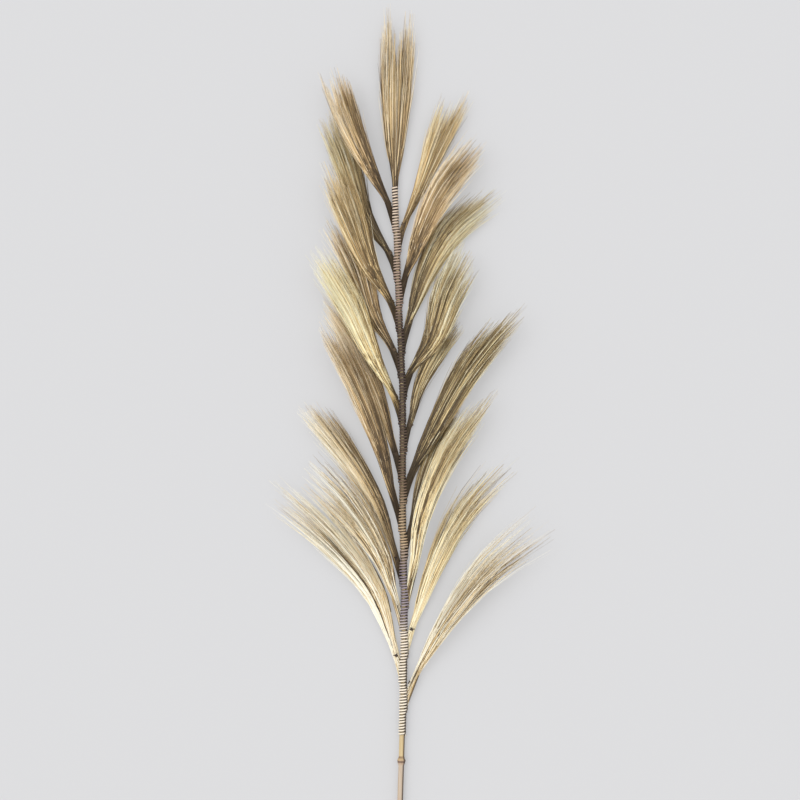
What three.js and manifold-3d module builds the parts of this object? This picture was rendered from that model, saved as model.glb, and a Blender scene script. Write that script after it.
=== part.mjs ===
// A tall spray of dried grass, laid on its back. Twenty-one gathered tufts are bound to one long cane by
// a flat cord that is wound round it: one tuft stands on at the tip, and the others lean out to the left
// and to the right in turn. Lengths are in millimetres and angles in degrees. +Y runs up the cane to the
// tip, +X to the right and +Z up from the surface that the spray lies on.
import * as THREE from "three";
import { mergeVertices } from "three/addons/utils/BufferGeometryUtils.js";
import Module from "manifold-3d";

const wasm = await Module();
wasm.setup();

// ---- Driving dimensions --------------------------------------------------------------------------
// Heights are measured up the cane from its cut foot.
const GAP = 0.3; // left between pieces that touch

const CANE_FOOT_RADIUS = 5.5;
const CANE_TIP_RADIUS = 4;
const KNUCKLE_RADIUS = 8;
const KNUCKLE_LENGTH = 18;
const KNUCKLE_DROP = 47; // from the winding's foot down to the middle of the knuckle
const BOW = [-1, 5, 8, 5, 5, -3, -9.5]; // how far the cane strays sideways, at even heights

const WINDING_FOOT = 162;
const LOWEST_BUTT_RISE = 57; // from the winding's foot up to the lowest butt
const WINDING_PAST_TUFTS = 48; // from the highest side tuft up to the winding's top
const TOP_TUCK = 57; // length of the top tuft's butt that stands inside the winding
const CORD_THICKNESS = 1.2;
const SWELL_RUN = 9; // over which the winding climbs onto a butt

const TUFT_PITCH = 96; // from one tuft to the next on the same side
const LEFT_RISE = 40; // how much higher each left tuft is than the right one of its number
const TUCK = 36; // length of each butt that lies under the winding
const BUTT_THICKNESS = 2.4; // a butt is pressed flat against the cane
const BUTT_WIDTH = 5.2;
const NECK_RADIUS = 3.2;
const NECK_LEAN = 30; // the least lean that carries a tie clear of the winding
const NECK_CLEARANCE = 2; // between the winding and a tie
const TUFT_THICKNESS = 24;
const LAYER_CLEARANCE = 1; // between the tufts that lie on the surface and those that lie on them
const FAN_OPEN = 0.8; // the share of a tuft's length at which it is widest

const TIE_LENGTH = 7;
const TIE_THICKNESS = 1.2;
const TIE_CLEARANCE = 0.5;

// Each tuft from the tip down: its slip up from an even pitch, its reach from the winding to its longest
// hairs and its fill across, both in pitches so that neighbours still clear each other, the power by which
// its fan opens (1 along straight edges, below 1 fast at first), and the lean of its first, middle and
// last third away from the cane.
const LEFT_TUFTS = [
  { slip: 0, reach: 2.96, fill: 0.58, open: 0.95, leans: [29, 24, 17] },
  { slip: 3, reach: 3.15, fill: 0.66, open: 0.9, leans: [34, 19, 20] },
  { slip: 4, reach: 3.05, fill: 0.68, open: 0.85, leans: [31, 20, 21] },
  { slip: 11, reach: 2.88, fill: 0.62, open: 0.8, leans: [31, 17, 24] },
  { slip: 17, reach: 3.28, fill: 0.65, open: 0.9, leans: [29, 23, 31] },
  { slip: 5, reach: 3.44, fill: 0.48, open: 0.8, leans: [18, 24, 32] },
  { slip: 6, reach: 3.85, fill: 0.52, open: 0.8, leans: [16, 20, 27] },
  { slip: 0, reach: 3.59, fill: 0.52, open: 0.8, leans: [20, 31, 38] },
  { slip: 8, reach: 3.49, fill: 0.72, open: 0.8, leans: [19, 32, 44] },
  { slip: 7, reach: 4.43, fill: 0.86, open: 0.8, leans: [20, 38, 48] },
];
const RIGHT_TUFTS = [
  { slip: 0, reach: 2.89, fill: 0.6, open: 1.15, leans: [25, 21, 23] },
  { slip: -3, reach: 3.12, fill: 0.64, open: 0.75, leans: [22, 26, 39] },
  { slip: 0, reach: 3.22, fill: 0.73, open: 0.8, leans: [20, 27, 46] },
  { slip: 11, reach: 2.78, fill: 0.71, open: 0.7, leans: [36, 18, 28] },
  { slip: 4, reach: 2.5, fill: 0.44, open: 0.9, leans: [16, 26, 34] },
  { slip: 5, reach: 3.96, fill: 0.64, open: 0.65, leans: [28, 30, 40] },
  { slip: -3, reach: 2.76, fill: 0.47, open: 0.85, leans: [17, 21, 30] },
  { slip: -4, reach: 4.17, fill: 0.52, open: 0.65, leans: [11, 22, 35] },
  { slip: 1, reach: 4.06, fill: 0.66, open: 0.75, leans: [21, 27, 42] },
  { slip: -6, reach: 4.48, fill: 0.81, open: 1, leans: [29, 38, 52] },
];
const TOP_TUFT = { length: 325, width: 70, open: 0.55, sway: 6 };

// Faces round each section, and steps along the cane's covered length and along each fan.
const CANE_SIDES = 12;
const TUFT_SIDES = 8;
const CANE_STEPS = 20;
const TUFT_STEPS = 7;

// ---- Materials -----------------------------------------------------------------------------------
const caneSkin = new THREE.MeshStandardMaterial({ color: 0xe3cfa4, roughness: 0.5, metalness: 0 });
const cordFibre = new THREE.MeshStandardMaterial({ color: 0x8a715c, roughness: 0.9, metalness: 0 });
const tieThread = new THREE.MeshStandardMaterial({ color: 0x4a3d33, roughness: 0.9, metalness: 0 });
const dryGrass = new THREE.MeshStandardMaterial({ color: 0xc4a777, roughness: 0.8, metalness: 0 });

// ---- Shapes shared by the pieces -----------------------------------------------------------------
const clamp = (t) => THREE.MathUtils.clamp(t, 0, 1);
const radians = THREE.MathUtils.degToRad;

// Closed lathe of unit radius along a path. Each ring is stretched to its own half width across the
// surface and half thickness off it, and then set square to the path. Stations are lengths along it.
function loft(path, stations, halfSizes, sides) {
  const rings = stations.map((s) => new THREE.Vector2(1, s));
  const first = new THREE.Vector2(0, stations[0]);
  const last = new THREE.Vector2(0, stations.at(-1));
  const geometry = new THREE.LatheGeometry([first, ...rings, last], sides);
  const position = geometry.getAttribute("position");
  const vertex = new THREE.Vector3();
  for (let i = 0; i < position.count; i += 1) {
    vertex.fromBufferAttribute(position, i);
    const share = clamp(vertex.y / path.getLength());
    const forward = path.getTangentAt(share);
    const across = new THREE.Vector3(forward.y, -forward.x, 0).normalize();
    const upward = new THREE.Vector3().crossVectors(across, forward);
    const half = halfSizes(vertex.y, Math.sign(vertex.x));
    const place = path.getPointAt(share);
    place.addScaledVector(across, vertex.x * half.wide);
    place.addScaledVector(upward, vertex.z * half.thick);
    position.setXYZ(i, place.x, place.y, place.z);
  }
  return geometry;
}

function solidOf(geometry) {
  const bare = new THREE.BufferGeometry();
  bare.setIndex(geometry.index);
  bare.setAttribute("position", geometry.getAttribute("position"));
  const merged = mergeVertices(bare, 1e-3);
  return new wasm.Manifold(
    new wasm.Mesh({
      numProp: 3,
      vertProperties: merged.getAttribute("position").array,
      triVerts: new Uint32Array(merged.index.array),
    }),
  );
}

function geometryOf(solid) {
  const mesh = solid.getMesh();
  const geometry = new THREE.BufferGeometry();
  geometry.setAttribute("position", new THREE.BufferAttribute(mesh.vertProperties, 3));
  geometry.setIndex(new THREE.BufferAttribute(mesh.triVerts, 1));
  geometry.computeVertexNormals();
  return geometry;
}

function named(name, geometry, material) {
  const mesh = new THREE.Mesh(geometry, material);
  mesh.name = name;
  return mesh;
}

// ---- Heights that follow from the driving dimensions ---------------------------------------------
const knuckleHeight = WINDING_FOOT - KNUCKLE_DROP;
const lowestRight = WINDING_FOOT + LOWEST_BUTT_RISE + TUCK;
const highestLeft = lowestRight + LEFT_RISE + (LEFT_TUFTS.length - 1) * TUFT_PITCH;
const windingTop = highestLeft + WINDING_PAST_TUFTS;
const caneLength = windingTop - TOP_TUCK;
const stemHeight = Math.max(KNUCKLE_RADIUS, CANE_FOOT_RADIUS + GAP + CORD_THICKNESS);

// ---- The cane's line and girth -------------------------------------------------------------------
// The bow is so shallow that a length along the line is the height, to within a millimetre.
const caneLine = new THREE.CatmullRomCurve3(
  BOW.map((x, i) => new THREE.Vector3(x, (i / (BOW.length - 1)) * windingTop, stemHeight)),
);
const caneAt = (height) => caneLine.getPointAt(clamp(height / caneLine.getLength()));

// The cane tapers evenly and swells at its one bare knuckle, like a raised cosine.
function caneRadius(height) {
  const taper = THREE.MathUtils.lerp(CANE_FOOT_RADIUS, CANE_TIP_RADIUS, clamp(height / caneLength));
  const away = clamp(Math.abs(height - knuckleHeight) / (KNUCKLE_LENGTH / 2));
  return taper + ((KNUCKLE_RADIUS - taper) * (1 + Math.cos(Math.PI * away))) / 2;
}

const knuckleStations = [-1, -0.6, -0.3, 0, 0.3, 0.6, 1].map(
  (share) => knuckleHeight + (share * KNUCKLE_LENGTH) / 2,
);
const stepsUp = (from, to, steps) =>
  Array.from({ length: steps + 1 }, (_, i) => THREE.MathUtils.lerp(from, to, i / steps));

const coveredStations = stepsUp(WINDING_FOOT, caneLength, CANE_STEPS);
const caneStations = [0, ...knuckleStations, ...coveredStations];
const caneShape = (height) => ({ wide: caneRadius(height), thick: caneRadius(height) });

// ---- Tufts ---------------------------------------------------------------------------------------
const tieInner = NECK_RADIUS + TIE_CLEARANCE;
const tieOuter = tieInner + TIE_THICKNESS;

// From the winding to the middle of a tie: far enough along the neck's lean for the tie's nearest edge
// to stand clear of the winding.
const tieReach =
  tieOuter * Math.cos(radians(NECK_LEAN)) + (TIE_LENGTH / 2) * Math.sin(radians(NECK_LEAN));
const neckRun =
  (CORD_THICKNESS - BUTT_THICKNESS / 2 + tieReach + NECK_CLEARANCE) / Math.sin(radians(NECK_LEAN));

// A tuft's girth, by the length from its butt's end: pressed flat under the winding, round at the neck,
// then a fan that opens by a power of the length and closes as an ellipse.
const TIP_ROUNDING = 0.92; // below 1, so that the tip ends in a small flat

function fanShare(along, power) {
  if (along < FAN_OPEN) return (along / FAN_OPEN) ** power;
  return Math.sqrt(1 - (TIP_ROUNDING * (along - FAN_OPEN) / (1 - FAN_OPEN)) ** 2);
}

function tuftShape({ length, width, open }, tuck, butt) {
  return (s) => {
    const round = clamp((s - tuck) / (neckRun - TIE_LENGTH / 2));
    const along = clamp((s - tuck - neckRun - TIE_LENGTH / 2) / (length - neckRun));
    const spread = fanShare(along, open);
    const neckWide = THREE.MathUtils.lerp(butt.wide, NECK_RADIUS, round);
    const neckThick = THREE.MathUtils.lerp(butt.thick, NECK_RADIUS, round);
    return {
      wide: neckWide + (width / 2 - NECK_RADIUS) * spread,
      thick: neckThick + (TUFT_THICKNESS / 2 - NECK_RADIUS) * spread,
    };
  };
}

function tuftStations(path, tuck) {
  const neckEnd = tuck + neckRun + TIE_LENGTH / 2;
  const neck = [0, tuck, tuck + neckRun - TIE_LENGTH / 2, neckEnd];
  return [...neck, ...stepsUp(neckEnd, path.getLength(), TUFT_STEPS).slice(1)];
}

const pressedButt = { wide: BUTT_THICKNESS / 2, thick: BUTT_WIDTH / 2 };
const LOW_LAYER = TUFT_THICKNESS / 2;
const HIGH_LAYER = LOW_LAYER + TUFT_THICKNESS + LAYER_CLEARANCE;

// The line of a side tuft: up beside the cane, out through the neck, and on in three equal chords.
function sideLine(spec, side, height, layer) {
  const besideCane = (h) =>
    caneAt(h).add(new THREE.Vector3(side * (caneRadius(h) + GAP + BUTT_THICKNESS / 2), 0, 0));
  const step = (from, lean, length, z) =>
    new THREE.Vector3(
      from.x + side * Math.sin(radians(lean)) * length,
      from.y + Math.cos(radians(lean)) * length,
      z,
    );
  const exit = besideCane(height);
  const neckLean = Math.max(NECK_LEAN, spec.leans[0]);
  const points = [1, 0.5, 0.12, 0].map((share) => besideCane(height - share * TUCK));
  points.push(step(exit, neckLean, neckRun, exit.z));
  let knot = exit;
  for (const lean of spec.leans) {
    knot = step(knot, lean, spec.length / 3, layer);
    points.push(knot);
  }
  return new THREE.CatmullRomCurve3(points);
}

// The tie is a short collar round the neck.
function tie(name, path, tuck) {
  const half = TIE_LENGTH / 2;
  const profile = [
    new THREE.Vector2(tieInner, -half),
    new THREE.Vector2(tieOuter, -half),
    new THREE.Vector2(tieOuter, half),
    new THREE.Vector2(tieInner, half),
    new THREE.Vector2(tieInner, -half),
  ];
  const collar = named(name, new THREE.LatheGeometry(profile, TUFT_SIDES), tieThread);
  const share = (tuck + neckRun) / path.getLength();
  collar.position.copy(path.getPointAt(share));
  collar.quaternion.setFromUnitVectors(new THREE.Vector3(0, 1, 0), path.getTangentAt(share));
  return collar;
}

// Left and right tufts take turns on the surface and on top of their neighbours.
function sideTufts(sideName, side, specs, firstHeight, firstIsHigh) {
  return specs.map(({ slip, reach, fill, open, leans }, i) => {
    const spec = { length: reach * TUFT_PITCH, width: fill * TUFT_PITCH, open, leans };
    const number = String(i + 1).padStart(2, "0");
    const height = firstHeight - i * TUFT_PITCH + slip;
    const layer = firstIsHigh === (i % 2 === 0) ? HIGH_LAYER : LOW_LAYER;
    const path = sideLine(spec, side, height, layer);
    const shape = tuftShape(spec, TUCK, pressedButt);
    const body = loft(path, tuftStations(path, TUCK), shape, TUFT_SIDES);
    return {
      side,
      height,
      path,
      shape,
      tuft: named(`${sideName}_tuft_${number}`, body, dryGrass),
      tie: tie(`${sideName}_tie_${number}`, path, TUCK),
    };
  });
}

const tufts = [
  ...sideTufts("left", -1, LEFT_TUFTS, highestLeft, true),
  ...sideTufts("right", 1, RIGHT_TUFTS, highestLeft - LEFT_RISE, false),
];

// The top tuft goes on in line with the cane: its butt stands on the cane's tip inside the winding.
const topTuck = TOP_TUCK - GAP;
const topFoot = caneAt(caneLength + GAP);
const topExit = caneAt(windingTop);
const topPath = new THREE.CatmullRomCurve3([
  topFoot,
  topExit,
  new THREE.Vector3(topExit.x, topExit.y + neckRun, topExit.z),
  new THREE.Vector3(topExit.x + TOP_TUFT.sway / 3, topExit.y + TOP_TUFT.length / 2, LOW_LAYER),
  new THREE.Vector3(topExit.x + TOP_TUFT.sway, topExit.y + TOP_TUFT.length, LOW_LAYER),
]);
const roundButt = { wide: CANE_TIP_RADIUS, thick: CANE_TIP_RADIUS };
const topShape = tuftShape(TOP_TUFT, topTuck, roundButt);
const topBody = loft(topPath, tuftStations(topPath, topTuck), topShape, TUFT_SIDES);

// ---- Binding cord --------------------------------------------------------------------------------
// One jacket of the wound cord's outer shape. It swells on the side where a butt lies under it, and the
// cane and the butts are then cut out of it with the gap all round.
function swell(height, side) {
  const onThisSide = tufts.filter((t) => t.side === side);
  const shares = onThisSide.map((t) => {
    const up = (height - (t.height - TUCK - SWELL_RUN)) / SWELL_RUN;
    const down = (t.height + SWELL_RUN - height) / SWELL_RUN;
    return clamp(Math.min(up, down));
  });
  return Math.max(...shares) * (BUTT_THICKNESS + GAP);
}

function jacketShape(height, side) {
  const round = caneRadius(height) + GAP + CORD_THICKNESS;
  return { wide: round + (side === 0 ? 0 : swell(height, side)), thick: round };
}

const swellStations = tufts.flatMap((t) => [
  t.height - TUCK - SWELL_RUN,
  t.height - TUCK,
  t.height,
  t.height + SWELL_RUN,
]);
const jacketStations = [WINDING_FOOT, ...swellStations, windingTop]
  .filter((h) => h >= WINDING_FOOT && h <= windingTop)
  .sort((a, b) => a - b);

const grown = (shape) => (s) => {
  const half = shape(s);
  return { wide: half.wide + GAP, thick: half.thick + GAP };
};

function windingSolid() {
  const boreStations = [WINDING_FOOT - 1, ...coveredStations, windingTop + 1];
  const cane = solidOf(loft(caneLine, boreStations, grown(caneShape), CANE_SIDES));
  let winding = solidOf(loft(caneLine, jacketStations, jacketShape, CANE_SIDES)).subtract(cane);
  for (const { path, shape } of tufts) {
    const stations = tuftStations(path, TUCK).slice(0, 4);
    winding = winding.subtract(solidOf(loft(path, stations, grown(shape), TUFT_SIDES)));
  }
  return winding;
}

// ---- The whole spray -----------------------------------------------------------------------------
const spray = new THREE.Group();
spray.add(named("cane", loft(caneLine, caneStations, caneShape, CANE_SIDES), caneSkin));
spray.add(named("binding_cord", geometryOf(windingSolid()), cordFibre));
spray.add(named("top_tuft", topBody, dryGrass), tie("top_tie", topPath, topTuck));
for (const { tuft, tie: collar } of tufts) spray.add(tuft, collar);

// The origin is under the middle of the spray, on the surface that it lies on.
const box = new THREE.Box3().setFromObject(spray, true);
const middle = box.getCenter(new THREE.Vector3());
spray.position.set(-middle.x, -middle.y, -box.min.z);

const part = new THREE.Group();
part.add(spray);

export default part;
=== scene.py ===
# %% [markdown]
# # A spray of dried grass
#
# The object is a long cane with twenty-one tufts of dried grass bound to it by a wound cord. The
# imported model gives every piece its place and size: each tuft is there as a plain closed pod, the
# cord as a plain jacket. This lesson grows the real surfaces in those places: thousands of single
# grass hairs, the turns of the cord, the cane's skin and the little thread ties.

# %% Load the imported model
import math

import bpy
import numpy as np
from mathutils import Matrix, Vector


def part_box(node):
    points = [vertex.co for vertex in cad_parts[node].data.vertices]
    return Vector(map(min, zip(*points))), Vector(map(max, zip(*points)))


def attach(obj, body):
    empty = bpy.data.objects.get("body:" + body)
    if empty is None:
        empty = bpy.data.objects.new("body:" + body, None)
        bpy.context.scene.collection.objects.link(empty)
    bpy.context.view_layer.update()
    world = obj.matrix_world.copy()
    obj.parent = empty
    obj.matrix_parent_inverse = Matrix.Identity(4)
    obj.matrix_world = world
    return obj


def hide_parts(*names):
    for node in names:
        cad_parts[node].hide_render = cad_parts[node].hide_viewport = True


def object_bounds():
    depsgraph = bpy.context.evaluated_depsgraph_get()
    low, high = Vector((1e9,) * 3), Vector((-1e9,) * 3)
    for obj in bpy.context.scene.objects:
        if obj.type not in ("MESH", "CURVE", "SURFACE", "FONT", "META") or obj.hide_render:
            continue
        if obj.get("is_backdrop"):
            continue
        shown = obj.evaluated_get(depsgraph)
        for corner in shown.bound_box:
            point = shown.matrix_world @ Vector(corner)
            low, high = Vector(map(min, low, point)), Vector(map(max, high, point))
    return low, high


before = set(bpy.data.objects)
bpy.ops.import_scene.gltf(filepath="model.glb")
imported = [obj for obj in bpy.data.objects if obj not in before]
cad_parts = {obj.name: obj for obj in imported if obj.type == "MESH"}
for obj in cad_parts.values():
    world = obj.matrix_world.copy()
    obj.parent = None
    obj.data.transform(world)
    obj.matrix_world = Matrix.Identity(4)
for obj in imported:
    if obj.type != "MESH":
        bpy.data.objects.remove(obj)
CAD_LOW, CAD_HIGH = (np.array(corner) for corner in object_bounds())
CAD_SIZE = CAD_HIGH - CAD_LOW
MM = 0.001
random = np.random.default_rng(21)
print("the packed model measures", CAD_SIZE.round(3), "m")

# %% [markdown]
# ## Shader sums as Python
#
# A shader is a sum of small nodes. Wiring each node by hand hides the sum, so `Term` wraps a node's
# output and lets Python's own signs add the Math nodes: `1 - mask`, `a * b + c`. Every other node
# comes from one function that takes the node's type, its settings and what goes into its sockets.

# %% The shader helpers
class Term:
    """An output of a node, ready to be used in a sum."""

    def __init__(self, tree, socket):
        self.tree, self.socket = tree, socket

    def math(self, operation, *values, clamp=False):
        settings = {"operation": operation, "use_clamp": clamp}
        return node(self.tree, "ShaderNodeMath", settings, dict(enumerate(values)))

    def __add__(self, other):
        return self.math("ADD", self, other)

    def __sub__(self, other):
        return self.math("SUBTRACT", self, other)

    def __rsub__(self, other):
        return self.math("SUBTRACT", other, self)

    def __mul__(self, other):
        return self.math("MULTIPLY", self, other)

    def __truediv__(self, other):
        return self.math("DIVIDE", self, other)

    __radd__, __rmul__ = __add__, __mul__

    def clamped(self):
        return self.math("ADD", self, 0.0, clamp=True)


def node(tree, kind, settings=None, inputs=None, output=0):
    """Adds a node, sets it up, fills or links its sockets and returns one output as a Term."""
    made = tree.nodes.new(kind)
    for name, value in (settings or {}).items():
        if name == "stops":
            ramp = made.color_ramp
            while len(ramp.elements) < len(value):
                ramp.elements.new(1.0)
            for element, (place, colour) in zip(ramp.elements, value):
                element.position = place
                element.color = colour
        else:
            setattr(made, name, value)
    for name, value in (inputs or {}).items():
        if isinstance(value, Term):
            tree.links.new(value.socket, made.inputs[name])
        else:
            made.inputs[name].default_value = value
    return Term(tree, made.outputs[output])


def paint(red, green, blue):
    """The linear colour of an 8-bit paint-chart colour: the usual 2.4 power curve, undone."""
    chart = np.array([red, green, blue]) / 255
    linear = np.where(chart > 0.04045, ((chart + 0.055) / 1.055) ** 2.4, chart / 12.92)
    return (*linear.tolist(), 1.0)


def blended(tree, share, first, second, blend_type="MIX"):
    """A mix of two colours, by a share from 0 to 1."""
    settings = {"data_type": "RGBA", "blend_type": blend_type}
    return node(tree, "ShaderNodeMix", settings, {0: share, 6: first, 7: second}, output=2)


def new_finish(name):
    """An empty material with a Principled shader, and its node tree and shader."""
    material = bpy.data.materials.new(name)
    material.use_nodes = True
    tree = material.node_tree
    return material, tree, tree.nodes["Principled BSDF"]


def feed(tree, term, socket):
    tree.links.new(term.socket, socket)


def parts_of(tree, vector):
    """The X, Y and Z of a vector, each as a Term."""
    split = tree.nodes.new("ShaderNodeSeparateXYZ")
    feed(tree, vector, split.inputs[0])
    return [Term(tree, output) for output in split.outputs]


def bumped(tree, shader, height, depth, strength):
    """Turns a height into small dents and ridges, depth metres deep."""
    inputs = {"Height": height, "Distance": depth, "Strength": strength}
    feed(tree, node(tree, "ShaderNodeBump", None, inputs), shader.inputs["Normal"])


# %% [markdown]
# ## The finish of the grass
#
# A tuft holds hundreds of hairs, up to about two thousand, and each hair has one shade, bleached or
# brown. So the shade is written into the hairs' own UV map: its first coordinate is the shade, from
# 0 for the darkest to 1 for the palest, cut into narrow columns, and its second runs from the
# tuft's neck to its tips. The material only has to turn those two numbers into a colour. It needs
# no picture, and hairs of one shade share one column.

# %% Grass finishes
SHADES = 64  # the name of the hairs' UV map
GRASS_MAP = "OFBake"  # the closing export bakes through a map of this name
NECK_REACH = 0.62  # how far up a tuft its neck's darkness fades away, as a share of its length
FOOT_REACH = 0.2  # the same for the extra darkness at a dark neck's foot
BLEACH_START, BLEACH = 0.3, 0.3  # where the tips' bleaching starts, and how much it adds
TINT_SHARE, GREY_SHARE = 0.75, 0.14  # how strong the tint is, and how grey the greyest column is


def grass_finish(name, tint, neck_shade):
    """Dry grass. The shade picks a colour from umber to cream, and the tips are bleached. The neck
    is darkened by neck_shade times the shade times 1.3 less the shade, so the middle shades darken
    most, and a negative neck_shade makes it paler. That darker neck is partly the stalks' own brown
    and partly painted shade close to the cane. tint is multiplied in, and each column is greyed
    a little, by a random share."""
    material, tree, shader = new_finish(name)
    place = node(tree, "ShaderNodeUVMap", {"uv_map": GRASS_MAP})
    shade, along, _ = parts_of(tree, place)
    scaled = shade * SHADES
    column = scaled.math("FLOOR", scaled)
    own = node(tree, "ShaderNodeTexWhiteNoise", {"noise_dimensions": "1D"}, {"W": column})
    # the neck's darkness: partly the stalks' own brown, partly painted shade near the cane
    neck = (1 - along / NECK_REACH).clamped() * neck_shade
    foot = (1 - along / FOOT_REACH).clamped() * max(0.0, neck_shade - 0.2)
    bleach = ((along - BLEACH_START) / (1 - BLEACH_START)).clamped() * BLEACH
    tone = (shade + bleach - neck * shade * (1.3 - shade) - foot * shade).clamped()
    stops = [
        (0.00, paint(62, 50, 38)),
        (0.18, paint(126, 107, 80)),
        (0.36, paint(192, 168, 130)),
        (0.52, paint(234, 212, 170)),
        (0.70, paint(252, 241, 216)),
        (1.00, paint(255, 255, 250)),
    ]
    straw = node(tree, "ShaderNodeValToRGB", {"stops": stops}, {0: tone})
    tinted = blended(tree, TINT_SHARE, straw, tint, "MULTIPLY")
    grey = blended(tree, own * GREY_SHARE, tinted, paint(150, 134, 110))
    feed(tree, grey, shader.inputs["Base Color"])
    shader.inputs["Roughness"].default_value = 0.55
    shader.inputs["Specular IOR Level"].default_value = 0.35
    return material


GRASS = {
    "tan": grass_finish("tan grass", paint(255, 241, 216), 1.35),
    "gold": grass_finish("golden grass", paint(255, 242, 206), 0.95),
    "olive": grass_finish("olive grass", paint(240, 236, 208), 1.3),
    "cream": grass_finish("cream grass", paint(255, 248, 230), 0.15),
    "ash": grass_finish("ashen grass", paint(255, 246, 226), 0.9),
    "straw": grass_finish("straw grass", paint(255, 246, 212), -0.7),
    "sunny": grass_finish("sunlit grass", paint(255, 246, 204), 1.0),
}
print("grass finishes:", ", ".join(GRASS))

# %% [markdown]
# ## Reading a pod
#
# Each tuft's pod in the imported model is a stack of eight-sided rings. Sorted along the pod, its
# corners fall into rings again, and each ring gives three things: the middle of the tuft there, its
# half width and its half thickness. That places the hairs by the model alone, with nothing measured
# twice.

# %% From a pod's corners to its line
POD_SIDES, CANE_SIDES = 8, 12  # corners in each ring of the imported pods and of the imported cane


def directions(line):
    """Three unit vectors at each point of a line: along it, level across it, and square to both."""
    forward = np.gradient(line, axis=0)
    forward /= np.linalg.norm(forward, axis=-1, keepdims=True)
    across = np.stack([forward[:, 1], -forward[:, 0], 0 * forward[:, 0]], axis=1)
    across /= np.linalg.norm(across, axis=1, keepdims=True)
    return forward, across, np.cross(across, forward)


def read_pod(name, sides):
    """The line, half widths and half thicknesses of a lofted node. Its corners are sorted along its
    longest direction and dealt out in rings; each end's ring holds its cap's middle point too."""
    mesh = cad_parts[name].data
    corners = np.empty(len(mesh.vertices) * 3, np.float32)
    mesh.vertices.foreach_get("co", corners)
    corners = np.unique(corners.reshape(-1, 3).round(5), axis=0).astype(float)
    longest = np.linalg.svd(corners - corners.mean(0), full_matrices=False)[2][0]
    order = np.argsort(corners @ (longest * np.sign(longest[1])))
    cuts = np.arange(sides + 1, len(corners) - sides, sides)
    rings = np.split(corners[order], cuts)
    line = np.array([ring.mean(0) for ring in rings])
    _, across, upward = directions(line)
    wide = [np.abs((ring - c) @ a).max() for ring, c, a in zip(rings, line, across)]
    thick = [np.abs((ring - c) @ u).max() for ring, c, u in zip(rings, line, upward)]
    return line, np.array(wide), np.array(thick)


def through(knots, values, at):
    """A smooth curve through values at the knots: on each span the cubic whose slopes at both ends
    are the central differences there."""
    slope = np.gradient(values, knots, axis=0)
    k = np.clip(np.searchsorted(knots, at) - 1, 0, len(knots) - 2)
    span = knots[k + 1] - knots[k]
    t = (at - knots[k]) / span
    if values.ndim > 1:
        t, span = t[..., None], span[..., None]
    start, end = values[k], values[k + 1]
    rise = (2 * t**3 - 3 * t**2 + 1) * start + (3 * t**2 - 2 * t**3) * end
    return rise + span * ((t**3 - 2 * t**2 + t) * slope[k] + (t**3 - t**2) * slope[k + 1])


def lengths_along(line):
    """How far along a line each of its points lies: the running sum of the steps' lengths."""
    steps = np.linalg.norm(np.diff(line, axis=0), axis=1)
    return np.concatenate([[0], np.cumsum(steps)])


# %% Put arrays into a mesh
def add_piece(name, points, quads, triangles, material, uv=None, map_name="way"):
    """A mesh object at the origin from arrays: points of any shape, four-cornered and
    three-cornered faces, and one UV place for each face corner, quads first."""
    points, quads, triangles = points.reshape(-1, 3), quads.reshape(-1, 4), triangles.reshape(-1, 3)
    mesh = bpy.data.meshes.new(name)
    corner_points = np.concatenate([quads.ravel(), triangles.ravel()]).astype(np.int32)
    sizes = np.repeat([4, 3], [len(quads), len(triangles)])
    starts = np.concatenate([[0], np.cumsum(sizes)[:-1]]).astype(np.int32)
    mesh.vertices.add(len(points))
    mesh.vertices.foreach_set("co", points.astype(np.float32).ravel())
    mesh.loops.add(len(corner_points))
    mesh.loops.foreach_set("vertex_index", corner_points)
    mesh.polygons.add(len(sizes))
    mesh.polygons.foreach_set("loop_start", starts)
    mesh.polygons.foreach_set("use_smooth", np.ones(len(sizes), bool))
    if uv is not None:
        layer = mesh.uv_layers.new(name=map_name)
        layer.uv.foreach_set("vector", uv.astype(np.float32).ravel())
    mesh.update(calc_edges=True)
    mesh.materials.append(material)
    piece = bpy.data.objects.new(name, mesh)
    bpy.context.scene.collection.objects.link(piece)
    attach(piece, "root")
    return piece


def tubes(lines, side_a, side_b, radii, sides, roll=0.0):
    """Closed tubes along many lines at once. lines, side_a and side_b are (tubes, steps, 3): the
    middle line and two square directions; radii is (tubes, steps) or a pair of such arrays. Round
    each step the points are the line, plus side_a times a radius times the cosine of the turn, plus
    side_b times a radius times its sine. Returns the points, the quads of the walls and the fans of
    triangles that close both ends."""
    count, steps = lines.shape[:2]
    turn = 2 * np.pi * np.arange(sides) / sides + np.reshape(roll, (-1, 1, 1))
    radius_a, radius_b = radii if isinstance(radii, tuple) else (radii, radii)
    wave_a = (np.cos(turn) * radius_a[..., None])[..., None]
    wave_b = (np.sin(turn) * radius_b[..., None])[..., None]
    points = lines[:, :, None] + wave_a * side_a[:, :, None] + wave_b * side_b[:, :, None]
    index = np.arange(count * steps * sides).reshape(count, steps, sides)
    after = np.roll(index, -1, axis=2)
    quads = np.stack([index[:, :-1], index[:, 1:], after[:, 1:], after[:, :-1]], axis=-1)
    fan = np.arange(1, sides - 1)
    foot = index[:, 0]
    foot_fan = np.stack([foot[:, :1] + 0 * fan, foot[:, fan], foot[:, fan + 1]], -1)
    head = index[:, -1]
    head_fan = np.stack([head[:, :1] + 0 * fan, head[:, fan + 1], head[:, fan]], -1)
    triangles = np.concatenate([foot_fan, head_fan], axis=1)
    return points, quads, triangles


# %% [markdown]
# ## The hairs of a tuft
#
# A tuft could be a solid with a fur texture, but seen from near its edge would be a hard line, and
# grass has none. Here each hair is its own closed three-sided tube that tapers to its tip. Hairs
# start at the neck or a little way up among the others, spread as the pod does, and gather in locks
# towards their tips, as dry grass does. Each lock has a length and a shade of its own, which gives
# the streaks and the prongs.

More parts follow.
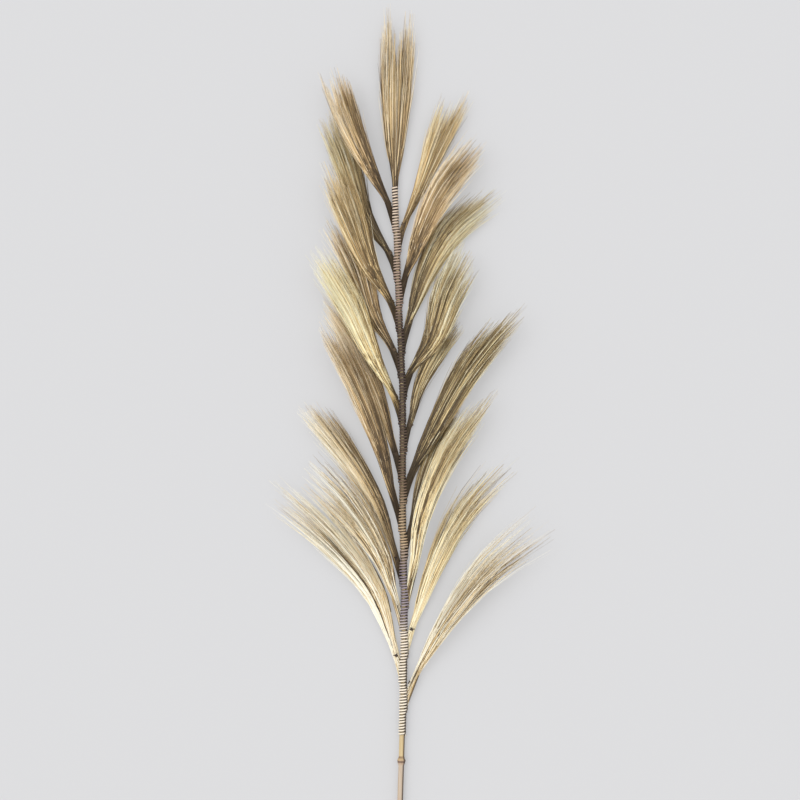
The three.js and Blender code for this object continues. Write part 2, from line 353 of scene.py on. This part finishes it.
# %% The line that a tuft's hairs follow
def tuft_guide(name):
    """The knots, points, two directions, half widths and half thicknesses of a tuft's line. It goes
    one ring past the pod's end, for the longest hairs. Past its broadest ring the pod closes, but
    hairs fan out along straight edges, so there the half width keeps growing in step with the
    length."""
    line, wide, thick = read_pod(name, POD_SIDES)
    line = np.concatenate([line, line[-1:] + (line[-1:] - line[-2:-1])])
    knots = lengths_along(line)
    broadest = wide.argmax()
    past = knots[broadest + 1:] / knots[broadest]
    wide = np.append(wide[: broadest + 1], wide[broadest] * past)
    thick = np.maximum.accumulate(np.append(thick, thick[-1]))
    _, side, upward = directions(line)
    return knots, line, side, upward, wide, thick


def scatter(count):
    """Random places in a round section of radius 1. The square root spreads them evenly over it."""
    angle, reach = random.uniform(0, 2 * np.pi, count), np.sqrt(random.uniform(0, 1, count))
    return np.stack([np.cos(angle), np.sin(angle)], 1) * reach[:, None]


# %% Where each hair starts, ends and runs
ACROSS = np.linspace(-1, 1, 5)  # where each tuft's tips and shades are given, from edge to edge
TIP_REACH = 1.1  # how far a hair may reach where a tuft's tips say 1, in lengths of the pod
SHORTEST_LOCK = 0.86  # the shortest lock, as a share of the longest
SHORTENING = 0.4  # how much shorter than its lock a hair can be
LOW_ROOTS = 0.4  # the share of the hairs that start at the neck
NECK_ROOTS, HIGH_ROOTS = (0.0, 0.1), (0.06, 0.4)  # where hairs start, in lengths of the pod
STRAYS, STRAY_SPREAD = 0.06, (1.05, 1.2)  # the share of hairs that stand off, and how much
TIE_SQUEEZE, SQUEEZE_REACH = 0.3, 0.06  # how much the tie narrows a tuft, and how soon that fades
LOCK_DRIFT = 0.05  # how much a lock wanders from its place, in half widths
WAVES, SWINGS = (0.4, 1.0), (0.01, 0.07)  # how many waves a hair has, and how wide they are


def hair_ends(place, mine, locks, tips):
    """Where each hair starts and ends, as shares of the pod's length. It ends at its lock's reach,
    less up to SHORTENING of it. The power of 0.7 leaves fewer of the hairs at full length."""
    hairs = len(place)
    far = np.interp(place[:, 0], ACROSS, tips) * TIP_REACH
    lock_length = random.uniform(SHORTEST_LOCK, 1.0, locks)[mine]
    end = far * lock_length * (1 - SHORTENING * random.uniform(0, 1, hairs) ** 0.7)
    low = random.uniform(0, 1, hairs) < LOW_ROOTS
    start = np.where(low, random.uniform(*NECK_ROOTS, hairs), random.uniform(*HIGH_ROOTS, hairs))
    return start, end


def hair_spots(place, lock, mine, share, t, gather, flare):
    """Where each hair crosses the tuft's section at each step, in half widths and half thicknesses:
    its own place, pulled towards its lock by gather times the square of the way up the tuft, plus
    its lock's drift. That is narrowed by the tie, widened by flare times the cube of the way up,
    and spread for strays. A slow wave that grows from the root is added."""
    hairs, locks = len(place), len(lock)
    stray = random.uniform(0, 1, hairs) < STRAYS
    pull = (gather * share**2)[..., None]
    drift = random.normal(0, LOCK_DRIFT, (locks, 2))[mine][:, None] * (share**2)[..., None]
    spot = place[:, None] * (1 - pull) + lock[mine][:, None] * pull + drift
    spot *= (1 + flare * share**3 - TIE_SQUEEZE * np.exp(-share / SQUEEZE_REACH))[..., None]
    spread = np.where(stray, random.uniform(*STRAY_SPREAD, hairs), 1.0)
    spot *= spread[:, None, None] ** (2 * t[..., None])
    phase = random.uniform(0, 2 * np.pi, (2, hairs, 1))
    rate = random.uniform(*WAVES, (2, hairs, 1))
    swing = random.uniform(*SWINGS, (2, hairs, 1))
    wave = swing * np.sin(2 * np.pi * rate * t + phase) * t
    return spot + np.moveaxis(wave, 0, -1)


# %% The hairs' map
HAIR_STEPS, HAIR_SIDES = 6, 3
MAP_REACH = 1.15  # how far up a tuft the top of its map lies, in lengths of the pod
COLUMN_INSET = 0.1  # keeps a hair's walls off its column's sides, as a share of the column
CAP_SPREAD = 0.004  # parts the corners of a cap, so that it has some area on the map
MAP_SHARE = 0.99  # keeps the whole inside the map


def hair_map(column, share):
    """The UV places of every face corner. Across, a hair's walls lie side by side in the middle of
    its shade's column; along, a corner lies at its share of the way up the tuft."""
    inner = 1 - 2 * COLUMN_INSET
    wall = (COLUMN_INSET + inner * np.arange(HAIR_SIDES + 1) / HAIR_SIDES) / SHADES
    left = column[:, None, None] / SHADES + wall[None, None, :-1] + 0 * share[:, :-1, None]
    right = column[:, None, None] / SHADES + wall[None, None, 1:] + 0 * share[:, :-1, None]
    low, high = (x[:, :, None] + 0 * left for x in (share[:, :-1], share[:, 1:]))
    walls = np.stack([left, low, left, high, right, high, right, low], -1).reshape(-1, 2)
    corner = column[:, None, None] / SHADES + wall[None, None, :3] + np.zeros((1, 2, 1))
    ends = np.stack([share[:, 0], share[:, -1]], 1)[..., None] + 0 * corner
    caps = np.stack([corner, ends + np.array([0.0, CAP_SPREAD, 0.0])], -1).reshape(-1, 2)
    return np.concatenate([walls, caps]) * MAP_SHARE


# %% Grow one tuft
HAIR_RADIUS = 0.76 * MM  # a middling hair's, at its root
GIRTHS = (0.6, 1.4)  # the thinnest and the thickest hair, as shares of that
FLOOR_CLEARANCE = 1.1 * MM
BOLD_SHARE, BOLD_STEPS = 0.3, (-0.34, 0.4)  # hairs far darker or paler than the rest, and how far
HAIR_NOISE = 0.2  # how much the shades of single hairs vary


def grow_tuft(name, finish, tips, shades,
              hairs=1900, locks=220, gather=0.42, flare=0.0, streaks=0.13):
    """tips are how far the hairs reach, as shares of the pod, and shades how pale they are, each at
    five places across the tuft. gather is how far locks draw together, flare how much broader than
    the pod a tuft gets, and streaks how much the locks' shades vary. A hair thins by 0.8 of its
    radius times the way up it to the power of 1.4."""
    knots, line, side, upward, wide, thick = tuft_guide(name)
    place, lock = scatter(hairs), scatter(locks)
    mine = np.linalg.norm(place[:, None] - lock[None], axis=2).argmin(1)
    start, end = hair_ends(place, mine, locks, tips)
    t = np.linspace(0, 1, HAIR_STEPS)[None]
    share = start[:, None] + (end - start)[:, None] * t
    spot = hair_spots(place, lock, mine, share, t, gather, flare)

    s = share * knots[-2]
    side_s, upward_s = through(knots, side, s), through(knots, upward, s)
    wide_s, thick_s = np.interp(s, knots, wide), np.interp(s, knots, thick)
    lines = through(knots, line, s) + side_s * (wide_s * spot[..., 0])[..., None]
    lines += upward_s * (thick_s * spot[..., 1])[..., None]
    lines[..., 2] = np.maximum(lines[..., 2], FLOOR_CLEARANCE)

    bold = random.uniform(0, 1, hairs) < BOLD_SHARE
    radii = HAIR_RADIUS * random.uniform(*GIRTHS, (hairs, 1)) * (1 - 0.8 * t**1.4)
    roll = random.uniform(0, 2 * np.pi, hairs)
    points, quads, triangles = tubes(lines, side_s, upward_s, radii, HAIR_SIDES, roll)

    shade = np.interp(place[:, 0], ACROSS, shades)
    shade += random.normal(0, streaks, locks)[mine] + random.normal(0, HAIR_NOISE, hairs)
    shade += np.where(bold, random.choice(BOLD_STEPS, hairs), 0.0)
    column = np.clip((shade * SHADES).astype(int), 0, SHADES - 1)
    uv = hair_map(column, share / MAP_REACH)
    piece = add_piece(name + "_hairs", points, quads, triangles, GRASS[finish], uv, GRASS_MAP)
    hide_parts(name)
    return quads.size // 2 + triangles.size // 3


# %% All twenty-one tufts
# Each tuft's finish, tips and shades. The values go from left to right in the view, so a right
# tuft's first value is on the side of the cane. The shades hold painted light and shade too: paler
# on the outer sides of the left tufts, towards the light, darker towards the cane, and darkest
# where one tuft lies in another's shadow.
TUFTS = {
    "top_tuft": ("ash", (0.86, 1.04, 0.82, 0.98, 0.92), (0.36, 0.22, 0.32, 0.32, 0.46)),
    "left_tuft_01": ("tan", (1.0, 0.88, 0.97, 0.96, 0.9), (0.62, 0.42, 0.34, 0.22, 0.08)),
    "left_tuft_02": ("olive", (0.9, 0.95, 1.0, 0.95, 0.9), (0.62, 0.36, 0.25, 0.18, 0.06)),
    "left_tuft_03": ("gold", (0.95, 1.0, 0.98, 0.95, 0.9), (0.55, 0.44, 0.32, 0.22, 0.1)),
    "left_tuft_04": ("tan", (0.95, 1.0, 0.98, 0.95, 0.9), (0.62, 0.4, 0.22, 0.1, 0.03)),
    "left_tuft_05": ("sunny", (0.95, 1.0, 1.0, 0.95, 0.9), (0.95, 0.85, 0.65, 0.38, 0.1)),
    "left_tuft_06": ("tan", (0.9, 0.96, 1.0, 0.95, 0.9), (1.0, 0.8, 0.46, 0.28, 0.1)),
    "left_tuft_07": ("tan", (0.95, 1.0, 0.98, 0.95, 0.85), (0.6, 0.38, 0.26, 0.16, 0.08)),
    "left_tuft_08": ("ash", (0.95, 1.0, 0.98, 0.95, 0.9), (0.95, 0.7, 0.3, 0.16, 0.08)),
    "left_tuft_09": ("cream", (0.95, 0.9, 1.0, 0.95, 0.9), (0.85, 0.6, 0.8, 0.4, 0.26)),
    "left_tuft_10": ("cream", (0.9, 0.93, 0.97, 0.9, 0.85), (1.0, 0.75, 0.5, 0.7, 0.4)),
    "right_tuft_01": ("gold", (0.95, 0.9, 0.9, 1.0, 1.02), (0.62, 0.56, 0.44, 0.34, 0.5)),
    "right_tuft_02": ("tan", (0.95, 0.95, 1.0, 0.97, 0.9), (0.72, 0.34, 0.24, 0.4, 0.6)),
    "right_tuft_03": ("olive", (0.85, 0.9, 1.0, 1.02, 0.95), (0.22, 0.18, 0.26, 0.46, 0.55)),
    "right_tuft_04": ("olive", (0.95, 1.0, 0.95, 0.9, 0.9), (0.5, 0.42, 0.4, 0.42, 0.5)),
    "right_tuft_05": ("olive", (0.95, 1.0, 0.98, 0.9, 0.9), (0.1, 0.1, 0.14, 0.24, 0.3)),
    "right_tuft_06": ("olive", (0.85, 0.9, 1.0, 0.97, 0.9), (0.06, 0.04, 0.08, 0.22, 0.45)),
    "right_tuft_07": ("olive", (0.95, 1.0, 0.98, 0.9, 0.9), (0.4, 0.16, 0.1, 0.14, 0.22)),
    "right_tuft_08": ("straw", (0.85, 0.9, 1.0, 0.97, 0.85), (0.9, 0.6, 0.34, 0.32, 0.46)),
    "right_tuft_09": ("straw", (0.8, 0.9, 1.0, 0.95, 0.8), (0.6, 0.5, 0.36, 0.4, 0.55)),
    "right_tuft_10": ("cream", (0.95, 0.9, 0.9, 1.0, 0.93), (0.9, 0.75, 0.6, 0.45, 0.4)),
}
# The lower tufts have fewer hairs, in looser locks, and some upper ones are more streaked.
LOOSE = {
    "left_tuft_04": {"streaks": 0.22},
    "left_tuft_05": {"streaks": 0.26},
    "left_tuft_07": {"streaks": 0.22, "gather": 0.3},
    "right_tuft_04": {"streaks": 0.22},
    "right_tuft_05": {"streaks": 0.2},
    "right_tuft_06": {"streaks": 0.26},
    "left_tuft_08": {"hairs": 1700, "locks": 170, "gather": 0.6, "flare": 0.1, "streaks": 0.2},
    "left_tuft_09": {"hairs": 700, "locks": 70, "gather": 0.75, "flare": 0.2, "streaks": 0.34},
    "left_tuft_10": {"hairs": 760, "locks": 70, "gather": 0.78, "flare": 0.15, "streaks": 0.28},
    "right_tuft_08": {"hairs": 1300, "locks": 150, "gather": 0.6, "streaks": 0.28},
    "right_tuft_09": {"hairs": 460, "locks": 46, "gather": 0.82, "flare": 0.2, "streaks": 0.26},
    "right_tuft_10": {"hairs": 400, "locks": 36, "gather": 0.85, "flare": 0.15, "streaks": 0.28},
}
faces = 0
for tuft_name, (finish, tips, shades) in TUFTS.items():
    faces += grow_tuft(tuft_name, finish, tips, shades, **LOOSE.get(tuft_name, {}))
print("the tufts have", faces, "triangles in all")

# %% [markdown]
# ## The cane
#
# The cane is a thin reed with one bare knuckle near its foot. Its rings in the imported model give
# its line and its girth, and a fine grid wrapped round them gives its skin: shallow grooves along
# it, and a ridge and a scar round the knuckle where a leaf once grew.

# %% The cane's girth
cane_line, cane_wide, _ = read_pod("cane", CANE_SIDES)
cane_knots = lengths_along(cane_line)
KNUCKLE = 115 * MM  # up the cane
SKIN_SHARE = 0.985  # the skin's radius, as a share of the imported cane's
LIP_HEIGHT, LIP_ABOVE, LIP_WIDTH = 0.45 * MM, 1.2 * MM, 1.0 * MM  # above: from the knuckle's middle
SCAR_DEPTH, SCAR_BELOW, SCAR_WIDTH = 0.55 * MM, 1.4 * MM, 0.9 * MM


def cane_girth(s):
    """The cane's radius: its taper and knuckle from the model, a raised lip just above the
    knuckle's middle and a groove under it, each a narrow bell curve."""
    base = np.interp(s, cane_knots, cane_wide)
    lip = LIP_HEIGHT * np.exp(-(((s - KNUCKLE - LIP_ABOVE) / LIP_WIDTH) ** 2))
    groove = SCAR_DEPTH * np.exp(-(((s - KNUCKLE + SCAR_BELOW) / SCAR_WIDTH) ** 2))
    return base * SKIN_SHARE + lip - groove


# %% Wrap the cane's grid round it
CANE_STEPS, CANE_ROUND = 700, 28
KNUCKLE_STEPS, KNUCKLE_REACH = 90, 15 * MM  # extra rings close to the knuckle
GROOVES, GROOVE_DEPTH = 7, 0.05 * MM
cane_s = np.unique(np.concatenate([
    np.linspace(0, cane_knots[-1], CANE_STEPS),
    KNUCKLE + np.linspace(-KNUCKLE_REACH, KNUCKLE_REACH, KNUCKLE_STEPS),
]))
cane_middle = through(cane_knots, cane_line, cane_s)
_, cane_across, cane_upward = directions(cane_middle)
cane_radius = cane_girth(cane_s)
points, quads, triangles = tubes(
    cane_middle[None], cane_across[None], cane_upward[None], cane_radius[None], CANE_ROUND
)
around = np.arange(CANE_ROUND) * 2 * np.pi / CANE_ROUND
points = points[0]
groove_wave = GROOVE_DEPTH * np.sin(GROOVES * around)[None, :, None]
points += groove_wave * (points - cane_middle[:, None]) / cane_radius[:, None, None]
points[..., 2] = np.maximum(points[..., 2], 0)
print("the cane's grid has", len(points), "rings")


# %% The cane's finish
def painted_shade_side(tree):
    """Painted shade where a surface faces the cane's right, away from the light: the sideways part
    of its normal, from 0.4 to 0.65.
    """
    facing = node(tree, "ShaderNodeNewGeometry", output="Normal")
    return ((parts_of(tree, facing)[0] - 0.4) / 0.25).clamped()


def hump(distance, width):
    """A round hump: 1 less the square of distance / width, and 0 from width away."""
    away = distance / width
    return (1 - away * away).clamped()


def cane_finish():
    """Straw skin with grain drawn out along the cane, two brown scars at the knuckle, pinker below
    it, and painted shade down its right side, away from the light on the left."""
    material, tree, shader = new_finish("cane skin")
    place = node(tree, "ShaderNodeTexCoord", output="Object")
    up = parts_of(tree, place)[1] - float(cane_line[0, 1]) - KNUCKLE  # metres above the knuckle
    drawn = node(tree, "ShaderNodeMapping", None, {0: place, "Scale": (900.0, 18.0, 900.0)})
    grain = node(tree, "ShaderNodeTexNoise", None, {"Vector": drawn, "Scale": 1.0, "Detail": 4.0})
    spots = node(tree, "ShaderNodeTexNoise", None, {"Vector": place, "Scale": 55.0, "Detail": 3.0})

    skin = blended(tree, (up / (4 * MM)).clamped(), paint(178, 162, 144), paint(188, 168, 126))
    skin = blended(tree, ((grain - 0.42) * 2.6).clamped() * 0.7, skin, paint(158, 126, 84))
    skin = blended(tree, ((spots - 0.55) * 3.0).clamped() * 0.4, skin, paint(150, 112, 74))
    skin = blended(tree, hump(up + 0.8 * MM, 7.2 * MM) * 0.35, skin, paint(142, 98, 64))
    skin = blended(tree, hump(up + 0.8 * MM, 2.4 * MM) * 0.85, skin, paint(78, 50, 34))
    patchy = hump(up - 7.5 * MM, 3 * MM) * ((spots - 0.4) * 6.0).clamped()
    skin = blended(tree, patchy * 0.8, skin, paint(104, 70, 48))
    # painted shade down the cane's right side, away from the light on the left
    skin = blended(tree, painted_shade_side(tree) * 0.85, skin, paint(58, 42, 34))
    feed(tree, skin, shader.inputs["Base Color"])
    feed(tree, 0.42 + grain * 0.25, shader.inputs["Roughness"])
    bumped(tree, shader, grain, 0.2 * MM, 0.5)
    return material


cane = add_piece("cane_skin", points, quads, triangles, cane_finish())
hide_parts("cane")

# %% [markdown]
# ## The wound cord
#
# The cord is flat and goes round the cane nearly two hundred times, over the butts of the tufts.
# Drawn as bands on a sleeve it would be smooth in outline. Here it is one long strip on a helix,
# whose radius follows what it lies on: the cane, and on one side or the other a butt.

# %% How far the cord climbs over the butts
BUTT_TUCK = 36 * MM  # the length of a butt that lies under the cord
BUTT_SWELL, CLIMB = 2.7 * MM, 9 * MM  # how far it lifts the cord, and over what length


def swell_at(height, side_name):
    """How far the cord stands off the cane on one side: up over each butt's lower end in a smooth
    climb, level along it and down past the neck. The butts' feet come from the boxes of the
    tufts."""
    feet = np.array([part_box(name)[0][1] for name in TUFTS if name.startswith(side_name)])
    up = (height[:, None] - feet + CLIMB) / CLIMB
    down = (feet + BUTT_TUCK + CLIMB - height[:, None]) / CLIMB
    share = np.clip(np.minimum(up, down), 0, 1).max(1)
    return BUTT_SWELL * share * share * (3 - 2 * share)


# %% Wind the cord
cord_low, cord_high = (np.array(corner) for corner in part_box("binding_cord"))
CORD_PITCH = 5.5 * MM
CORD_HALF_WIDTH, CORD_HALF_THICKNESS = 2.45 * MM, 1.1 * MM
TURN_STEPS, CORD_SIDES = 22, 6
HAND_KNOTS, HAND_WANDER = 260, 0.35 * MM  # a hand's unevenness: how often and how much it wanders
TIP_LEAN = 0.045  # past the cane's tip the winding leans left, by this share of its height
turns = (cord_high[1] - cord_low[1] - 2 * CORD_HALF_WIDTH) / CORD_PITCH
angle = np.linspace(0, 2 * np.pi * turns, int(turns * TURN_STEPS))
hand = random.normal(0, HAND_WANDER, HAND_KNOTS)
uneven = np.interp(angle, np.linspace(0, angle[-1], HAND_KNOTS), hand)
height = cord_low[1] + CORD_HALF_WIDTH + CORD_PITCH * angle / (2 * np.pi) + uneven

middle = through(cane_knots, cane_line, np.interp(height, cane_line[:, 1], cane_knots))
middle[:, 1] = height
middle[:, 0] -= TIP_LEAN * np.maximum(height - cane_line[-1, 1], 0)
seat = np.interp(height, cane_line[:, 1], cane_wide) + CORD_HALF_THICKNESS
swell = np.where(np.cos(angle) > 0, swell_at(height, "right"), swell_at(height, "left"))
cord_line = middle + np.stack(
    [(seat + swell) * np.cos(angle), 0 * angle, -seat * np.sin(angle)], 1
)
cord_length = lengths_along(cord_line)[-1]
print("the cord makes", round(turns), "turns and is", round(cord_length, 1), "m long")

# %% Give the cord its flat section
outward = np.stack([np.cos(angle), 0 * angle, -np.sin(angle)], 1)
lengthways = np.tile([0.0, 1.0, 0.0], (len(angle), 1))
half_width = CORD_HALF_WIDTH * (1 + 0.08 * np.sin(angle * 0.37) * np.sin(angle * 0.113))
half_thickness = np.full(len(angle), CORD_HALF_THICKNESS)
points, quads, triangles = tubes(
    cord_line[None], outward[None], lengthways[None],
    (half_thickness[None], half_width[None]), CORD_SIDES,
)


# %% The cord's finish and mesh
def cord_finish():
    """Pale plant fibre, with painted shade up the cane where the tufts shade it. The fibres run
    along the strip, and painted shade darkens the strip towards its edges, in the gaps between the
    turns, by its own UV map."""
    material, tree, shader = new_finish("wound cord")
    place = node(tree, "ShaderNodeTexCoord", output="Object")
    low, high = float(cord_low[1]), float(cord_high[1])
    rise = (parts_of(tree, place)[1] - low) / (high - low)
    wander = node(tree, "ShaderNodeTexNoise", None, {"Vector": place, "Scale": 30.0})
    # the cord's pale colour with painted shade where the tufts shade it: a greyer band above the
    # pale foot, darkest through the middle
    shade_up_cord = node(tree, "ShaderNodeValToRGB", {"stops": [
        (0.00, paint(250, 238, 216)),
        (0.18, paint(246, 232, 212)),
        (0.22, paint(158, 148, 156)),
        (0.30, paint(150, 138, 146)),
        (0.36, paint(214, 186, 150)),
        (0.46, paint(120, 98, 78)),
        (0.56, paint(90, 74, 62)),
        (0.66, paint(72, 58, 50)),
        (0.74, paint(84, 68, 58)),
        (0.79, paint(156, 132, 116)),
        (0.88, paint(196, 172, 154)),
        (1.00, paint(242, 222, 200)),
    ]}, {0: rise + (wander - 0.5) * 0.05})
    across, along, _ = parts_of(tree, node(tree, "ShaderNodeUVMap", {"uv_map": "way"}))
    drawn = node(tree, "ShaderNodeCombineXYZ", None, {0: across * 60.0, 1: along * 900.0, 2: 0.0})
    fibre = node(tree, "ShaderNodeTexNoise", None, {"Vector": drawn, "Scale": 1.0, "Detail": 3.0})
    off_middle = (across - 0.5) * 2.0
    edge = ((off_middle * off_middle - 0.05) / 0.4).clamped()
    streaked = blended(tree, ((fibre - 0.4) * 2.5).clamped() * 0.5, shade_up_cord, paint(96, 72, 56))
    # painted shade: the strip goes near black at its edges, where the gaps between the turns lie in
    # shade
    gap_shaded = blended(tree, edge * 0.92, streaked, paint(30, 22, 18))
    # painted shade down the right side of the cord's lowest part, like the cane's beside it
    cord_side_shade = painted_shade_side(tree) * ((0.2 - rise) / 0.06).clamped() * 0.8
    feed(tree, blended(tree, cord_side_shade, gap_shaded, paint(58, 42, 36)), shader.inputs["Base Color"])
    shader.inputs["Roughness"].default_value = 0.8
    bumped(tree, shader, fibre, 0.4 * MM, 0.6)
    return material


def strip_map(steps, sides):
    """UV places of a strip's corners. Across is half of one plus the sine round the section, so it
    is 0 and 1 near the two edges and a half in the middle of both faces. Along is the way up the
    cord."""
    wall = np.arange(sides + 1) * 2 * np.pi / sides
    across = 0.5 + 0.5 * np.sin(wall)
    along = np.linspace(0, 1, steps)
    left, right = (x[None] + np.zeros((steps - 1, 1)) for x in (across[:-1], across[1:]))
    low, high = (x[:, None] + 0 * left for x in (along[:-1], along[1:]))
    walls = np.stack([left, low, left, high, right, high, right, low], -1).reshape(-1, 2)
    caps = np.tile([[0.2, 0.0], [0.8, 0.0], [0.5, 0.001]], (2 * (sides - 2), 1))
    return np.concatenate([walls, caps])


cord_map = strip_map(len(angle), CORD_SIDES)
cord = add_piece("wound_cord", points, quads, triangles, cord_finish(), cord_map)
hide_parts("binding_cord")

# %% [markdown]
# ## The thread ties
#
# A few turns of dark thread gather each tuft at its neck, and end in a small knot with two cut
# ends. A plain ring would do from far off, but the turns and the ends give the neck its rough
# little lump. The ends are thickest where they start, side by side on top of the neck, and that
# lump is the knot.

# %% The thread's finish
def tie_finish():
    """Dark waxed thread with lighter fibres here and there. The thread on the upper necks is the
    brown of the grass there, and fades to it over a third of a metre."""
    material, tree, shader = new_finish("tie thread")
    place = node(tree, "ShaderNodeTexCoord", output="Object")
    upper = ((parts_of(tree, place)[1] + 0.25) / 0.35).clamped()
    fuzz = node(tree, "ShaderNodeTexNoise", None, {"Vector": place, "Scale": 900.0, "Detail": 2.0})
    dark = blended(tree, ((fuzz - 0.42) * 2.6).clamped(), paint(48, 38, 32), paint(108, 88, 72))
    feed(tree, blended(tree, upper * 0.8, dark, paint(104, 86, 66)), shader.inputs["Base Color"])
    shader.inputs["Roughness"].default_value = 0.85
    bumped(tree, shader, fuzz, 0.3 * MM, 0.6)
    return material


# %% Wind a tie round each neck
TIE_TURNS, TIE_STEPS, TIE_PITCH = 4, 14, 1.45 * MM
THREAD_RADIUS, THREAD_SIDES = 0.8 * MM, 5
TAIL_STEPS, TAIL_SIDEWAYS, TAIL_ALONG = 9, 6 * MM, 2.5 * MM


def wind_tie(tuft_name, tie_name, material):
    """The thread's line is a helix round the neck: the centre, plus a radius times the cosine of
    the turn sideways and its sine upwards, rising along the neck. Two tails start at one point on
    top, and each is a parabola that droops."""
    low, high = (np.array(corner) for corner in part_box(tie_name))
    centre = (low + high) / 2
    line, _, _ = read_pod(tuft_name, POD_SIDES)
    nearest = np.linalg.norm(line - centre, axis=1).argmin()
    axis, side, top = (way[nearest] for way in directions(line))
    around = np.linspace(0, 2 * np.pi * TIE_TURNS, TIE_TURNS * TIE_STEPS)
    radius = (high[2] - low[2]) / 2 - THREAD_RADIUS
    rise = np.linspace(-0.5, 0.5, len(around)) * TIE_TURNS * TIE_PITCH
    out = np.cos(around)[:, None] * side + np.sin(around)[:, None] * top
    ring = centre + radius * out + rise[:, None] * axis
    thread = np.full((1, len(ring)), THREAD_RADIUS)
    parts = [tubes(ring[None], out[None], (0 * ring - axis)[None], thread, THREAD_SIDES)]

    knot = centre + (radius + THREAD_RADIUS) * top
    t = np.linspace(0, 1, TAIL_STEPS)[:, None]
    for sign in (-1.0, 1.0):
        lean = sign * random.uniform(0.5, 1.0)
        tail = knot + t * (lean * TAIL_SIDEWAYS * side + TAIL_ALONG * axis)
        tail += (2.4 * t - 3.2 * t * t) * MM * top
        tail_out, tail_side = directions(tail)[1:]
        thin = THREAD_RADIUS * (1.25 - 0.6 * t[:, 0])
        parts.append(tubes(tail[None], tail_out[None], tail_side[None], thin[None], THREAD_SIDES))

    points, quads, triangles = ([part[k] for part in parts] for k in range(3))
    offsets = np.cumsum([0] + [p.size // 3 for p in points[:-1]])
    piece = add_piece(
        tie_name + "_thread",
        np.concatenate([p.reshape(-1, 3) for p in points]),
        np.concatenate([q.reshape(-1, 4) + offset for q, offset in zip(quads, offsets)]),
        np.concatenate([f.reshape(-1, 3) + offset for f, offset in zip(triangles, offsets)]),
        material,
    )
    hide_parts(tie_name)


thread = tie_finish()
for tuft_name in TUFTS:
    wind_tie(tuft_name, tuft_name.replace("tuft", "tie"), thread)
print("wound", len(TUFTS), "ties")

# %% [markdown]
# ## The camera
#
# The spray lies on its back, so the camera looks straight down on it, with the tip at the top of
# the view. A long lens from far away keeps the tufts' tops and bottoms in line, where a short lens
# would lean them outwards. Its place is measured from the cane's foot, which is just past the
# view's edge.

# %% Put the camera over the spray
VIEW_SIDE = 1.52  # metres of floor across the square view
VIEW_RISE = 0.8  # metres from the cane's foot up to the middle of the view
VIEW_ASIDE = 1 * MM  # from the foot to the right
LENS, SENSOR = 110.0, 36.0  # millimetres
scene = bpy.context.scene


def put(name, data):
    """A new object in the scene, at the origin."""
    made = bpy.data.objects.new(name, data)
    scene.collection.objects.link(made)
    return made


camera = put("camera", bpy.data.cameras.new("camera"))
camera.data.lens = LENS
camera.data.sensor_width = SENSOR
camera.data.clip_end = 50
scene.camera = camera
camera_height = VIEW_SIDE * LENS / SENSOR
camera.location = (cane_line[0, 0] + VIEW_ASIDE, CAD_LOW[1] + VIEW_RISE, camera_height)
print("the camera hangs at", np.array(camera.location).round(4))

# %% [markdown]
# ## The floor and the light
#
# The spray lies on a plain pale floor. A large soft light from the left gives each tuft a bright
# side and a dark one, and the pale sky all round keeps the shadows soft. The floor glows a little
# of its own, as a light table does, which thins the shadows where black ones would hide fine tips.

# %% Lay the floor
FLOOR_REACH = 40  # metres from the middle to each edge
FLOOR_GLOW = 0.32
floor_mesh = bpy.data.meshes.new("floor")
corners = [(x * FLOOR_REACH, y * FLOOR_REACH, 0) for x, y in ((-1, -1), (1, -1), (1, 1), (-1, 1))]
floor_mesh.from_pydata(corners, [], [(0, 1, 2, 3)])
floor = put("floor", floor_mesh)
floor_finish, _, shader = new_finish("pale floor")
shader.inputs["Base Color"].default_value = paint(142, 142, 144)
shader.inputs["Roughness"].default_value = 0.9
shader.inputs["Emission Color"].default_value = paint(255, 255, 255)
shader.inputs["Emission Strength"].default_value = FLOOR_GLOW
floor_mesh.materials.append(floor_finish)
floor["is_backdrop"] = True

# %% Light it
KEY_SPREAD, KEY_TILT, KEY_TURN = 50, -35, -12  # degrees
KEY_ENERGY, SKY_STRENGTH = 1.1, 1.17
key = put("window light", bpy.data.lights.new("window light", "SUN"))
key.data.angle = math.radians(KEY_SPREAD)
key.data.energy = KEY_ENERGY
key.rotation_euler = (0, math.radians(KEY_TILT), math.radians(KEY_TURN))
world = bpy.data.worlds.new("studio")
scene.world = world
world.use_nodes = True
sky = world.node_tree.nodes["Background"]
sky.inputs["Color"].default_value = (1, 1, 1, 1)
sky.inputs["Strength"].default_value = SKY_STRENGTH
scene.view_settings.view_transform = "Standard"
